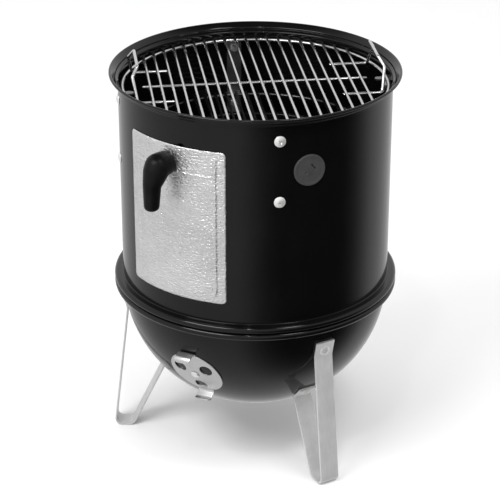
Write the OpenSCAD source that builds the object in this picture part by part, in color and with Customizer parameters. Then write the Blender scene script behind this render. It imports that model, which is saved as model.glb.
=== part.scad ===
// Vertical water smoker: a ball-bottomed bowl on three strap legs, with a
// cylindrical middle section that holds the water pan and two cooking grates.
// Origin: on the floor, on the body's axis.  +Z up, door facing -Y.

/* [Body] */
// Outer radius of the bowl and of the middle section's wall
body_r = 180; // [176:1:184]
// Thickness of the enamelled steel
sheet_t = 1.2; // [1:0.1:1.5]
// Height of the bowl's rim, where the middle section sits
seam_z = 236; // [232:1:240]
// Height of the top of the middle section's rim
rim_z = 530; // [524:1:540]
// Outer radius of the flared rim that takes a lid
rim_r = 191.5; // [189:0.5:194]
// Outer radius of the two beads at the seam
bead_r = 191.5; // [189:0.5:193]
// Height of each bead
bead_h = 9.4; // [8:0.2:10]

/* [Door] */
// Half of the angle that the door covers
door_half_angle = 24.1; // [23:0.1:25]
// Height of the door's lower edge
door_low = 273; // [270:1:276]
// Height of the door's upper edge
door_high = 481.5; // [478:0.5:484]
// How far the door laps over the wall around the opening
door_lap = 12; // [10:0.5:13]
// Height of the latch knob's axis
latch_z = 456; // [452:1:458]
// Direction of the latch knob's axis
latch_az = -92; // [-94:0.5:-88]

/* [Grates] */
// Direction of the first grate bracket
bracket_az = -44.5; // [-50:0.5:-40]
// Height that the upper grate's bars lie at
upper_grate_z = 512; // [510:0.5:513]
// Direction of the upper grate's cross bar
grate_az = 43; // [30:1:60]
// Radius of the upper grate's ring
upper_ring_r = 174; // [173:0.25:174.5]
// Radius of the lower grate's ring
lower_ring_r = 160; // [158:0.5:161]
// Distance between neighbouring bars
bar_pitch = 14.6; // [14:0.1:15]
// Diameter of the bars
bar_d = 3.6; // [3:0.1:4]
// Diameter of the ring wire
ring_d = 5; // [4.5:0.1:5.4]

/* [Legs and dampers] */
// Direction of the right leg
leg_az = -23.6; // [-26:0.2:-21]
// Width of the leg strap
leg_w = 27; // [24:1:30]
// Thickness of the leg strap
leg_t = 3; // [2.5:0.1:3.2]
// Distance from the axis to the outside of each foot
foot_out_r = 198.5; // [195:0.5:202]
// Radius of a damper disc
damper_r = 38; // [36:0.5:39]
// Radius of the air holes
vent_r = 9; // [8:0.25:9.5]
// Distance from the damper's rivet to each air hole
vent_ring_r = 23; // [22:0.5:24]

/* [Hidden] */
$fn = 96;

// Clearances: parts that rest on each other, and shafts in their holes
rest_gap = 0.3;
shaft_gap = 0.06;
// How deep crossing wires are melted into each other
weld = 0.6;
// How much wider a wire is at a bend
elbow_swell = 0.3;
// Length of the cutters for holes, and how far other cutters stick out
drill_l = 16;
cut_over = 1;
// Finish colours
enamel = [0.02, 0.02, 0.022];
plated = [0.72, 0.72, 0.74];
aluminium = [0.8, 0.8, 0.8];

// Bowl
bowl_c = seam_z - 1;
bowl_t = 1.5;
bowl_in_r = body_r - bowl_t;
bead_curl = bead_h / 2;
bead_mid_r = bead_r - bead_curl;
wall_in_r = body_r - sheet_t;
skirt_r = wall_in_r - 1.2;
skirt_drop = 10;

// Screws, nuts and rivets
screw_r = 3;
screw_hole_r = 3.3;
screw_head_r = 7.4;
screw_head_h = 3.2;
nut_flats_r = 5.8;
nut_h = 4;
leg_screw_l = 11;
bracket_screw_l = 9;

// Legs: elevation of the two screws on the ball, and the foot
leg_azs = [leg_az, leg_az + 120, leg_az + 240];
leg_top_el = -13;
leg_low_el = -43;
leg_top_pad = 14;
leg_low_pad = 11;
foot_in_r = foot_out_r - 28;
foot_bend = 9;

// Dampers
damper_azs = [leg_az - 60, leg_az + 180];
damper_el = -27.6;
damper_t = 1.4;
damper_turn = 5;
vent_turn = 60;
tab_w = 24;
tab_l = 17;
rivet_r = 3;
rivet_head_r = 6;

// Charcoal supports, grate and ring
coal_tab_z = 150;
coal_tab_in = 136;
coal_tab_w = 18;
coal_support_t = 2;
coal_support_h = 68;
coal_strap_r = bowl_in_r - 0.5;
coal_ring_wire_d = 6;
coal_grate_r = 142;
coal_bar_d = 5;
coal_bar_pitch = 19;
coal_bar_n = 14;
coal_ring_r = 131;
coal_ring_h = 125;
coal_hole_r = 8;
coal_hole_rows = 4;
coal_hole_cols = 16;
coal_wire_z = coal_tab_z + rest_gap + coal_ring_wire_d / 2;
coal_bar_z = coal_wire_z + coal_ring_wire_d / 2 + coal_bar_d / 2 - weld;
coal_ring_z = coal_bar_z + coal_bar_d / 2 + rest_gap;

// Middle section; directions are in degrees from +X
door_az = -90;
flare_z = rim_z - 12;
seat_w = 4;
seat_rise = 2.5;
lip_r = 2;
open_half_angle = door_half_angle - asin(door_lap / body_r);
open_low = door_low + door_lap;
open_high = door_high - door_lap;
notch_az = -85.2;
notch_r = 6.2;
notch_neck_r = 5.4;
notch_z = door_high - 2;
grommet_az = -32.2;
grommet_z = 455.5;
grommet_r = 21;
grommet_hole_r = 15;
grommet_h = 2.2;
slit_l = 9;
slit_w = 0.8;
slit_turn = 39;
pinhole_r = 1.6;

// Grate brackets
screw_high = 497.4;
screw_low = 416;
bracket_w = 20;
bracket_t = 2;
bracket_out_r = wall_in_r - 0.2;
bracket_in_r = bracket_out_r - bracket_t;
tab_high_in = 160;
tab_mid_in = 155.5;
tab_low_in = 149;
tab_high_w = 10;
tab_w_wide = 16;
tab_high_z = upper_grate_z - bar_d / 2 - ring_d + weld - rest_gap;
tab_mid_z = 430;
tab_low_z = 404;

// Door
door_in_r = body_r + rest_gap;
door_t = 1.2;
door_out_r = door_in_r + door_t;
door_corner = 6;
rib_inset = 14;
rib_r = 1.7;
rib_sunk = 0.9;
rib_end = 10.5;
ledge_depth = 8;
ledge_t = 1.5;

// Latch
tongue_r = 175.5;
tongue_t = 2;
tongue_w = 14;
tongue_l = 29;
knob_base_r = door_out_r + rest_gap;
knob_thread = 12;
washer_r = 6.5;
latch_head_r = 5.5;
latch_head_h = 3;

// Water pan
pan_rim_r = 152;
pan_wall_r = 147;
pan_floor_r = 98;
pan_depth = 84;
pan_t = 1.2;
pan_hem = 3;
pan_rim_z = tab_low_z + rest_gap + pan_hem;

// Grates
upper_ring_z = upper_grate_z - bar_d / 2 - ring_d / 2 + weld;
lower_ring_z = tab_mid_z + rest_gap + ring_d / 2;
lower_grate_z = lower_ring_z + ring_d / 2 + bar_d / 2 - weld;
upper_bar_n = 20;
lower_bar_n = 20;
bar_over = 2.2;
cross_over = 8;
handle_d = 4;
handle_in = 108;
handle_foot = 158;
handle_half = 57;
handle_bend = [163, 40, 29];
handle_top = [156, 30.5, 40.5];

// ---- Geometry helpers ----

function unit(v) = v / norm(v);
function left_of(v) = [-v.y, v.x];

// The rounded corner at b between the lines from a and to c
function corner(a, b, c, r, n) =
    let (u = unit(a - b), v = unit(c - b), half = acos(u * v) / 2,
         m = b + unit(u + v) * r / sin(half),
         s = b + u * r / tan(half) - m, e = b + v * r / tan(half) - m,
         a0 = atan2(s.y, s.x), sweep = ((atan2(e.y, e.x) - a0 + 540) % 360) - 180)
    [for (i = [0:n]) m + r * [cos(a0 + sweep * i / n), sin(a0 + sweep * i / n)]];

// A line through the points of p, its inner points rounded by the radii in r
function bent(p, r, n = 6) = concat(
    [p[0]],
    [for (i = [1:len(p) - 2]) each corner(p[i - 1], p[i], p[i + 1], r[i - 1], n)],
    [p[len(p) - 1]]);

// The point beside p[i], at a distance d from the line
function beside(p, i, d) =
    let (n = len(p), a = left_of(unit(p[max(i, 1)] - p[max(i, 1) - 1])),
         b = left_of(unit(p[min(i, n - 2) + 1] - p[min(i, n - 2)])), m = unit(a + b))
    p[i] + m * d / (m * a);

// Outline of a sheet of thickness t that follows the line p
function sheet(p, t) = concat(
    [for (i = [0:len(p) - 1]) beside(p, i, t / 2)],
    [for (i = [len(p) - 1:-1:0]) beside(p, i, -t / 2)]);

// A point on the ball at elevation el, and the uphill direction there, as [radius, height]
function ball(el, r) = [r * cos(el), bowl_c + r * sin(el)];
function uphill(el) = [-sin(el), cos(el)];

// Children stand on the ball: +Z out of it, +X downhill
module on_ball(az, el, r) {
    translate([0, 0, bowl_c]) rotate([0, 90 - el, az]) translate([0, 0, r]) children();
}

// Children stand on the wall: +Z out of it, +X down
module on_wall(az, z, r) {
    translate([0, 0, z]) rotate([0, 90, az]) translate([0, 0, r]) children();
}

// Cutter that goes through any of the sheets, its middle at z = 0
module drill(r) {
    translate([0, 0, -drill_l / 2]) cylinder(r = r, h = drill_l);
}

// Part of a ring between two radii, two heights and two directions
module ring_sector(r0, r1, z0, z1, az0, az1) {
    translate([0, 0, z0]) rotate(az0) rotate_extrude(angle = az1 - az0)
        translate([r0, 0]) square([r1 - r0, z1 - z0]);
}

// Upright tube from the floor to the top of the rim, to cut sheet pieces from
module tall_tube(r0, r1) {
    difference() {
        cylinder(r = r1, h = rim_z);
        translate([0, 0, -cut_over]) cylinder(r = r0, h = rim_z + 2 * cut_over);
    }
}

// A round wire through the points of p
module wire(p, d) {
    for (i = [0:len(p) - 2]) {
        v = p[i + 1] - p[i];
        translate(p[i]) rotate([0, acos(v.z / norm(v)), atan2(v.y, v.x)])
            cylinder(d = d, h = norm(v), $fn = 24);
    }
    for (i = [1:len(p) - 2]) translate(p[i]) sphere(d = d + elbow_swell, $fn = 24);
}

// A round wire bent into a level ring
module wire_ring(r, z, d) {
    translate([0, 0, z]) rotate_extrude() translate([r, 0]) circle(d = d, $fn = 24);
}

// Bars across a ring of radius r, evenly spaced about its middle
module grate_bars(r, z, d, n, pitch, over) {
    for (i = [0:n - 1]) {
        y = (i - (n - 1) / 2) * pitch;
        half = sqrt(r * r - y * y) + over;
        translate([-half, y, z]) rotate([0, 90, 0]) cylinder(d = d, h = 2 * half, $fn = 24);
    }
}

// Screw with a domed head and a crossed recess; its head's underside is at z = 0
module truss_screw(shank_l) {
    dome_r = (screw_head_r * screw_head_r + screw_head_h * screw_head_h) / (2 * screw_head_h);
    slot_w = 1.3;
    slot_l = 6;
    slot_depth = 1.4;
    difference() {
        union() {
            intersection() {
                translate([0, 0, screw_head_h - dome_r]) sphere(r = dome_r);
                cylinder(r = screw_head_r, h = screw_head_h);
            }
            translate([0, 0, -shank_l]) cylinder(r = screw_r, h = shank_l);
        }
        for (a = [20, 110]) rotate(a) translate([-slot_l / 2, -slot_w / 2, screw_head_h - slot_depth])
            cube([slot_l, slot_w, slot_depth + cut_over]);
    }
}

// Hexagon nut above z = 0
module hex_nut() {
    difference() {
        cylinder(r = nut_flats_r, h = nut_h, $fn = 6);
        drill(screw_r);
    }
}

// ---- Bowl and legs ----

// Outline of an open curled bead whose top or bottom face joins the sheet
module bead_outline(z_mid, joined_in_r, free_in_r, t, up) {
    flip = up ? 1 : -1;
    translate([bead_mid_r, z_mid]) difference() {
        circle(r = bead_curl);
        circle(r = bead_curl - t);
        translate([-bead_h, -bead_h]) square([bead_h, 2 * bead_h]);
    }
    translate([0, z_mid]) scale([1, flip]) {
        translate([joined_in_r, bead_curl - t]) square([bead_mid_r - joined_in_r + 0.2, t - 0.02]);
        translate([free_in_r, -bead_curl]) square([bead_mid_r - free_in_r + 0.2, t - 0.02]);
    }
}

// Three air holes around a damper's rivet
module vent_holes() {
    for (k = [0:2]) rotate(120 * k) translate([vent_ring_r, 0, 0]) drill(vent_r);
}

module bowl() {
    rim_top = seam_z - rest_gap;
    color(enamel) difference() {
        union() {
            difference() {
                translate([0, 0, bowl_c]) sphere(r = body_r);
                translate([0, 0, bowl_c]) sphere(r = bowl_in_r);
                translate([-body_r, -body_r, rim_top - 0.4]) cube([2 * body_r, 2 * body_r, 2 * body_r]);
            }
            rotate_extrude()
                bead_outline(rim_top - bead_curl, bowl_in_r, body_r + 1.5, bowl_t, true);
        }
        for (az = leg_azs) for (el = [leg_top_el, leg_low_el])
            on_ball(az, el, body_r) drill(screw_hole_r);
        for (az = damper_azs) on_ball(az, damper_el, body_r) {
            drill(rivet_r);
            rotate(damper_turn + vent_turn) vent_holes();
        }
    }
}

// Side view of a leg: pad on the ball, outer run, foot, inner run, lower pad
function leg_line() =
    let (r = body_r + leg_t / 2, a = ball(leg_top_el, r), f = ball(leg_low_el, r),
         out = foot_out_r - leg_t / 2, inn = foot_in_r + leg_t / 2, z = leg_t / 2)
    bent([a + leg_top_pad * uphill(leg_top_el), a - 9 * uphill(leg_top_el), [out, z], [inn, z],
          f - (leg_low_pad + 2) * uphill(leg_low_el), f + leg_low_pad * uphill(leg_low_el)],
         [14, foot_bend, foot_bend, 5]);

module leg(az) {
    color(plated) rotate(az) difference() {
        rotate([90, 0, 0]) linear_extrude(leg_w, center = true) polygon(sheet(leg_line(), leg_t));
        for (el = [leg_top_el, leg_low_el]) on_ball(0, el, body_r) drill(screw_hole_r);
    }
}

module leg_screws() {
    color(plated) for (az = leg_azs) on_ball(az, leg_top_el, body_r + leg_t)
        truss_screw(leg_screw_l + coal_support_t);
    color(plated) for (az = leg_azs) on_ball(az, leg_low_el, body_r + leg_t)
        truss_screw(leg_screw_l);
}

module leg_nuts() {
    color(plated) for (az = leg_azs) {
        on_ball(az, leg_top_el, coal_strap_r - coal_support_t - nut_h - rest_gap) hex_nut();
        on_ball(az, leg_low_el, bowl_in_r - nut_h - rest_gap) hex_nut();
    }
}

// Straps inside the bowl, each bent in to carry the charcoal grate
module charcoal_supports() {
    tab_out = sqrt(pow(coal_strap_r - coal_support_t / 2, 2) - pow(bowl_c - coal_tab_z, 2));
    color(plated) for (az = leg_azs) difference() {
        union() {
            intersection() {
                difference() {
                    translate([0, 0, bowl_c]) sphere(r = coal_strap_r);
                    translate([0, 0, bowl_c]) sphere(r = coal_strap_r - coal_support_t);
                }
                rotate(az) translate([coal_tab_in, -coal_tab_w / 2, coal_tab_z - coal_support_t])
                    cube([body_r - coal_tab_in, coal_tab_w, coal_support_h]);
            }
            rotate(az) translate([coal_tab_in, -coal_tab_w / 2, coal_tab_z - coal_support_t])
                cube([tab_out - coal_tab_in, coal_tab_w, coal_support_t]);
        }
        on_ball(az, leg_top_el, body_r) drill(screw_hole_r);
    }
}

// ---- Dampers ----

// A dished disc that lies on the ball, its air holes turned away from the bowl's
module damper(az) {
    in_r = body_r + rest_gap;
    color(aluminium) on_ball(az, damper_el, 0) rotate(damper_turn) difference() {
        union() {
            intersection() {
                difference() {
                    sphere(r = in_r + damper_t);
                    sphere(r = in_r);
                }
                translate([0, 0, in_r / 2]) cylinder(r = damper_r, h = in_r);
            }
            for (s = [-1, 1]) scale([s, 1, 1]) translate([damper_r - 4, 0, 0]) damper_tab(in_r);
        }
        translate([0, 0, body_r]) {
            drill(rivet_r + shaft_gap);
            vent_holes();
        }
    }
}

// Finger tab: a strap that leaves the disc's edge and curls out of the ball
module damper_tab(in_r) {
    edge_z = sqrt(in_r * in_r - damper_r * damper_r) + damper_t / 2;
    line = bent([[0, edge_z + 0.75], [7.5, edge_z - 0.75], [9.5, edge_z + tab_l * 0.7],
                 [7, edge_z + tab_l]], [3, 8]);
    rotate([90, 0, 0]) linear_extrude(tab_w, center = true) polygon(sheet(line, damper_t));
}

module damper_rivets() {
    head_z = body_r + rest_gap + damper_t + 0.15;
    dome_r = 9;
    dome_h = 2.6;
    color(plated) for (az = damper_azs) on_ball(az, damper_el, 0) {
        translate([0, 0, bowl_in_r - 2]) cylinder(r = rivet_r, h = head_z - bowl_in_r + 2.2);
        translate([0, 0, bowl_in_r - 2]) cylinder(r = rivet_head_r, h = 1.7);
        intersection() {
            translate([0, 0, head_z + dome_h - dome_r]) sphere(r = dome_r);
            translate([0, 0, head_z]) cylinder(r = rivet_head_r, h = dome_h);
        }
    }
}

// ---- Charcoal grate and ring ----

module charcoal_grate_ring() {
    color(plated) wire_ring(coal_grate_r, coal_wire_z, coal_ring_wire_d);
}

module charcoal_grate_bars() {
    color(plated) rotate(grate_az)
        grate_bars(coal_grate_r, coal_bar_z, coal_bar_d, coal_bar_n, coal_bar_pitch, 2);
}

module charcoal_ring() {
    row_h = coal_ring_h / coal_hole_rows;
    hole_step = 360 / coal_hole_cols;
    color(plated) difference() {
        translate([0, 0, coal_ring_z]) cylinder(r = coal_ring_r, h = coal_ring_h);
        translate([0, 0, coal_ring_z - cut_over])
            cylinder(r = coal_ring_r - sheet_t, h = coal_ring_h + 2 * cut_over);
        for (row = [0:coal_hole_rows - 1]) for (k = [0:coal_hole_cols - 1])
            on_wall(hole_step * (k + row % 2 / 2), coal_ring_z + row_h * (row + 0.5), coal_ring_r)
                drill(coal_hole_r);
    }
}

// ---- Middle section ----

// Side view of the wall: straight, a step that a lid sits on, then a short flare
function wall_line() =
    let (r = body_r - sheet_t / 2, seat_z = flare_z + seat_rise)
    bent([[r, seam_z + bead_h - sheet_t / 2], [r, flare_z], [r + seat_w, seat_z],
          [r + seat_w, seat_z + seat_rise], [rim_r - lip_r, rim_z - lip_r]], [1.4, 1.2, 1.4]);

module middle_section() {
    color(enamel) difference() {
        union() {
            rotate_extrude() polygon(sheet(wall_line(), sheet_t));
            rotate_extrude()
                bead_outline(seam_z + bead_curl, skirt_r - sheet_t, skirt_r + 1.4, sheet_t, true);
            translate([0, 0, seam_z - skirt_drop]) rotate_extrude()
                translate([skirt_r - sheet_t, 0]) square([sheet_t, skirt_drop + bead_h - 0.5]);
            wire_ring(rim_r - lip_r, rim_z - lip_r, 2 * lip_r);
        }
        ring_sector(body_r - drill_l / 2, body_r + drill_l / 2, open_low, open_high,
                    door_az - open_half_angle, door_az + open_half_angle);
        on_wall(notch_az, notch_z, body_r) drill(notch_r);
        rotate(notch_az) translate([body_r - drill_l / 2, -notch_neck_r, open_high - cut_over])
            cube([drill_l, 2 * notch_neck_r, notch_z - open_high + cut_over]);
        on_wall(grommet_az, grommet_z, body_r) drill(grommet_hole_r);
        for (k = [0:3]) for (z = [screw_low, screw_high])
            on_wall(bracket_az + 90 * k, z, body_r) drill(screw_hole_r);
    }
}

// Soft grommet with a slit for probe leads and a small hole beside it
module probe_grommet() {
    in_r = wall_in_r - grommet_h;
    color([0.12, 0.12, 0.125]) difference() {
        intersection() {
            on_wall(grommet_az, grommet_z, body_r) drill(grommet_r);
            tall_tube(in_r, body_r + grommet_h);
        }
        difference() {
            tall_tube(wall_in_r, body_r);
            on_wall(grommet_az, grommet_z, body_r) drill(grommet_hole_r - 0.1);
        }
        on_wall(grommet_az, grommet_z, body_r) {
            translate([-4, 5, 0]) rotate(slit_turn) cube([slit_l, slit_w, drill_l], center = true);
            translate([3.3, -5, 0]) drill(pinhole_r);
        }
    }
}

// Level tongue with a round tip, its top at a height z
module bracket_tab(in_r, z, w) {
    translate([0, 0, z - bracket_t]) {
        translate([in_r + w / 2, 0, 0]) cylinder(r = w / 2, h = bracket_t);
        translate([in_r + w / 2, -w / 2, 0]) cube([bracket_in_r + 0.8 - in_r - w / 2, w, bracket_t]);
    }
}

// Strap inside the wall, with tabs for both grates and for the water pan
module bracket(k) {
    low = tab_low_z - bracket_t;
    az = bracket_az + 90 * k;
    color(plated) difference() {
        rotate(az) {
            intersection() {
                translate([bracket_in_r - 4, -bracket_w / 2, low])
                    cube([8, bracket_w, tab_high_z - low]);
                tall_tube(bracket_in_r, bracket_out_r);
            }
            bracket_tab(tab_high_in, tab_high_z, tab_high_w);
            bracket_tab(tab_mid_in, tab_mid_z, tab_w_wide);
            bracket_tab(tab_low_in, tab_low_z, tab_w_wide);
        }
        for (z = [screw_low, screw_high])
            on_wall(az, z, body_r) drill(screw_hole_r);
    }
}

module bracket_screws() {
    color(plated) for (k = [0:3]) for (z = [screw_low, screw_high])
        on_wall(bracket_az + 90 * k, z, body_r) truss_screw(bracket_screw_l);
}

module bracket_nuts() {
    color(plated) for (k = [0:3]) for (z = [screw_low, screw_high])
        on_wall(bracket_az + 90 * k, z, bracket_in_r - nut_h - rest_gap) hex_nut();
}

// ---- Door ----

// Rectangle with rounded corners, lying on [0, 0] and centred in x
module rounded_plate(w, h, r) {
    translate([-w / 2 + r, 0]) square([w - 2 * r, h]);
    translate([-w / 2, r]) square([w, h - 2 * r]);
    for (x = [-w / 2 + r, w / 2 - r]) for (y = [r, h - r]) translate([x, y]) circle(r = r);
}

module door_panel() {
    door_w = 2 * door_out_r * sin(door_half_angle);
    rib_a = door_half_angle - asin(rib_inset / body_r);
    color(aluminium) difference() {
        union() {
            intersection() {
                tall_tube(door_in_r, door_out_r);
                translate([0, 0, door_low]) rotate([90, 0, door_az + 90])
                    linear_extrude(2 * body_r) rounded_plate(door_w, door_high - door_low, door_corner);
            }
            intersection() {
                for (s = [-1, 1]) rotate(door_az + s * rib_a)
                    translate([door_out_r - rib_sunk, 0, door_low + rib_end])
                        cylinder(r = rib_r, h = door_high - door_low - 2 * rib_end);
                tall_tube(door_in_r + 0.2, door_out_r + rib_r);
            }
        }
        on_wall(latch_az, latch_z, body_r) drill(screw_r + shaft_gap);
    }
}

// Strip behind the door that rests on the lower edge of the opening
module door_ledge() {
    half = open_half_angle - 3;
    leaf_h = 12;
    low = open_low + rest_gap;
    color(aluminium) {
        ring_sector(door_in_r - ledge_depth, door_in_r, low, low + ledge_t, door_az - half, door_az + half);
        ring_sector(door_in_r - ledge_t, door_in_r, low, low + leaf_h, door_az - half, door_az + half);
    }
}

// Black knob with a finger lever that hangs down
module door_knob() {
    base_h = 5;
    base_r = 15;
    dome = [0, 0, 19];
    dome_r = 17;
    bend = [21, 0, 29];
    bend_r = 11.5;
    tip = [50, 0, 30];
    tip_r = 10;
    color([0.03, 0.03, 0.03]) on_wall(latch_az, latch_z, knob_base_r) difference() {
        union() {
            hull() {
                cylinder(r = base_r, h = base_h, $fn = 32);
                translate(dome) sphere(r = dome_r, $fn = 32);
            }
            hull() {
                translate(dome) sphere(r = dome_r, $fn = 32);
                translate(bend) sphere(r = bend_r, $fn = 32);
            }
            hull() {
                translate(bend) sphere(r = bend_r, $fn = 32);
                translate(tip) sphere(r = tip_r, $fn = 32);
            }
        }
        translate([0, 0, -cut_over]) cylinder(r = screw_r, h = knob_thread + 2 + cut_over);
    }
}

// Flat tongue behind the door; it lies level while the knob hangs down
module latch_tongue() {
    color(plated) on_wall(latch_az, latch_z, tongue_r - tongue_t) difference() {
        linear_extrude(tongue_t) {
            circle(r = tongue_w / 2);
            translate([-tongue_w / 2, 0]) square([tongue_w, tongue_l - tongue_w / 2]);
            translate([0, tongue_l - tongue_w / 2]) circle(r = tongue_w / 2);
        }
        drill(screw_r);
    }
}

module latch_washer() {
    color(plated) on_wall(latch_az, latch_z, tongue_r) difference() {
        cylinder(r = washer_r, h = door_in_r - rest_gap - tongue_r);
        drill(screw_r);
    }
}

module latch_screw() {
    color(plated) on_wall(latch_az, latch_z, tongue_r - tongue_t) {
        translate([0, 0, -latch_head_h]) cylinder(r = latch_head_r, h = latch_head_h, $fn = 6);
        cylinder(r = screw_r, h = knob_base_r + knob_thread - tongue_r + tongue_t);
    }
}

// ---- Water pan and cooking grates ----

module water_pan() {
    z = pan_rim_z;
    line = bent([[pan_rim_r, z - pan_hem], [pan_rim_r, z + pan_hem], [pan_wall_r, z + pan_hem],
                 [pan_floor_r + 28, z - pan_depth], [0, z - pan_depth]], [1.6, 3, 34], 8);
    color(enamel) rotate_extrude() intersection() {
        polygon(sheet(line, pan_t));
        translate([0, z - 2 * pan_depth]) square([2 * pan_rim_r, 3 * pan_depth]);
    }
}

module lower_grate_ring() {
    color(plated) wire_ring(lower_ring_r, lower_ring_z, ring_d);
}

module lower_grate_bars() {
    color(plated) rotate(grate_az + 90)
        grate_bars(lower_ring_r, lower_grate_z, bar_d, lower_bar_n, bar_pitch, bar_over);
}

// Bar that ties the others together from below
module cross_bar(n, z) {
    half = (n - 1) / 2 * bar_pitch + cross_over;
    color(plated) rotate(grate_az) translate([-half, 0, z - bar_d + weld]) rotate([0, 90, 0])
        cylinder(d = bar_d, h = 2 * half, $fn = 24);
}

module lower_grate_cross_bar() {
    cross_bar(lower_bar_n, lower_grate_z);
}

module upper_grate_ring() {
    color(plated) wire_ring(upper_ring_r, upper_ring_z, ring_d);
}

module upper_grate_bars() {
    color(plated) rotate(grate_az + 90)
        grate_bars(upper_ring_r, upper_grate_z, bar_d, upper_bar_n, bar_pitch, bar_over);
}

module upper_grate_cross_bar() {
    cross_bar(upper_bar_n, upper_grate_z);
}

// Wire loop that rises inside the ring, its ends welded under the outer bars
module upper_handle(side) {
    z = upper_grate_z - bar_d / 2 - handle_d / 2 + weld;
    far_half = [[handle_in, handle_half, 0], [handle_foot, handle_half, 0], handle_bend, handle_top];
    near_half = [for (i = [3:-1:0]) [far_half[i].x, -far_half[i].y, far_half[i].z]];
    color(plated) rotate(grate_az + side) translate([0, 0, z])
        wire(concat(far_half, near_half), handle_d);
}

bowl();
leg(leg_azs[0]);  // leg_right
leg(leg_azs[1]);  // leg_rear
leg(leg_azs[2]);  // leg_left
leg_screws();
leg_nuts();
charcoal_supports();
damper_rivets();
damper(damper_azs[0]);  // damper_front
damper(damper_azs[1]);  // damper_rear
charcoal_grate_ring();
charcoal_grate_bars();
charcoal_ring();
middle_section();
probe_grommet();
bracket(0);  // bracket_front_right
bracket(1);  // bracket_rear_right
bracket(2);  // bracket_rear_left
bracket(3);  // bracket_front_left
bracket_screws();
bracket_nuts();
door_panel();
door_ledge();
door_knob();
latch_tongue();
latch_washer();
latch_screw();
water_pan();
lower_grate_ring();
lower_grate_bars();
lower_grate_cross_bar();
upper_grate_ring();
upper_grate_bars();
upper_grate_cross_bar();
upper_handle(0);  // upper_handle_right
upper_handle(180);  // upper_handle_left
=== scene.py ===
import math

import bmesh
import bpy
import numpy as np
from mathutils import Matrix, Vector


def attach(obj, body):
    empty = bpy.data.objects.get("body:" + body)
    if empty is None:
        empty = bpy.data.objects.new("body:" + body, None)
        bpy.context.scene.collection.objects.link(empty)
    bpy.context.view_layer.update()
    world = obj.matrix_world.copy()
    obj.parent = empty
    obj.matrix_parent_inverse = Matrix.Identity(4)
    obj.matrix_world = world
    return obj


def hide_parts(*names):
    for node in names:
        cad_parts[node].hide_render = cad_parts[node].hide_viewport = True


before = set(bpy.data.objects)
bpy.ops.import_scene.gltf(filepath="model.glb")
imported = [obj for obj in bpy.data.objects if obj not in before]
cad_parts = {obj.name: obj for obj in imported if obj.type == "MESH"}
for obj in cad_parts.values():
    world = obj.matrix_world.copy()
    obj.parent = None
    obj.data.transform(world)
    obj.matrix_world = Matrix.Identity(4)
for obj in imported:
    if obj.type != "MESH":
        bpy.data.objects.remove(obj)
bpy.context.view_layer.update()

# Sizes are in millimetres, in the frame of the CAD model: origin on the floor, +Z up, door facing -Y
MM = 0.001
BODY_R = 180
BOWL_Z = 235
SEAM_Z = 236
RIM_Z = 530
RIM_R = 191.5
BEAD_R = 186.8
DOOR_AZ = -90
BRACKET_AZ = -44.5
LEG_AZS = (-23.6, 96.4, 216.4)
DAMPERS = (("front", -83.6), ("rear", 156.4))
DAMPER_EL = -27.6
DAMPER_TURN = 5
VENT_R = 9
VENT_RING_R = 23
LEG_HIGH_EL = -13
LEG_LOW_EL = -43
SCREW_ZS = (497.4, 416)
NOTCH_AZ = -85.2
NOTCH_Z = 479.5
GROMMET_AZ = -32.2
GROMMET_Z = 455.5
LATCH_AZ = -92
LATCH_Z = 456
KNOB_BASE_R = 181.5
GRATE_AZ = 43
UPPER_BAR_Z = 512


# ---- Geometry helpers ----

def unit(v):
    v = np.asarray(v, float)
    return v / np.linalg.norm(v)


def arc(centre, r, a0, a1, n):
    """Points on an arc in the plane, from angle a0 to a1 in degrees."""
    return [(centre[0] + r * math.cos(math.radians(a)), centre[1] + r * math.sin(math.radians(a)))
            for a in np.linspace(a0, a1, n + 1)]


def bent(points, radii, n=6):
    """A line through the points, its inner points rounded by the radii."""
    p = [np.asarray(q, float) for q in points]
    out = [tuple(p[0])]
    for i, r in enumerate(radii, 1):
        u, v = unit(p[i - 1] - p[i]), unit(p[i + 1] - p[i])
        half = math.acos(np.clip(u @ v, -1, 1)) / 2
        m = p[i] + unit(u + v) * r / math.sin(half)
        s, e = p[i] + u * r / math.tan(half) - m, p[i] + v * r / math.tan(half) - m
        a0 = math.atan2(s[1], s[0])
        sweep = (math.atan2(e[1], e[0]) - a0 + 3 * math.pi) % (2 * math.pi) - math.pi
        out += [(m[0] + r * math.cos(a0 + sweep * k / n), m[1] + r * math.sin(a0 + sweep * k / n))
                for k in range(n + 1)]
    return out + [tuple(p[-1])]


def sheet_outline(line, t, cap=3):
    """Closed outline of a sheet of thickness t along a line in the plane, with rounded ends."""
    p = np.asarray(line, float)
    d = np.gradient(p, axis=0)
    for i in range(1, len(p) - 1):
        d[i] = unit(p[i] - p[i - 1]) + unit(p[i + 1] - p[i])
    d = d / np.linalg.norm(d, axis=1)[:, None]
    side = np.stack([-d[:, 1], d[:, 0]], 1)
    half = t / 2
    a, b = p + side * half, p - side * half
    end = [p[-1] + half * (side[-1] * math.cos(w) + d[-1] * math.sin(w))
           for w in np.linspace(0, math.pi, cap + 2)[1:-1]]
    start = [p[0] + half * (-side[0] * math.cos(w) - d[0] * math.sin(w))
             for w in np.linspace(0, math.pi, cap + 2)[1:-1]]
    return [tuple(q) for q in list(a) + end + list(b[::-1]) + start]


def subdivided(line, step):
    """The line with points added so that none are further apart than step."""
    out = [line[0]]
    for a, b in zip(line, line[1:]):
        n = max(1, math.ceil(math.dist(a, b) / step))
        out += [tuple(np.asarray(a) + (np.asarray(b) - np.asarray(a)) * k / n) for k in range(1, n + 1)]
    return out


def face_outwards(mesh):
    """Flips a closed mesh whose faces point inwards: as a cutter, such a mesh removes nothing."""
    b = bmesh.new()
    b.from_mesh(mesh)
    if b.calc_volume(signed=True) < 0:
        bmesh.ops.reverse_faces(b, faces=b.faces)
        b.to_mesh(mesh)
    b.free()


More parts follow.
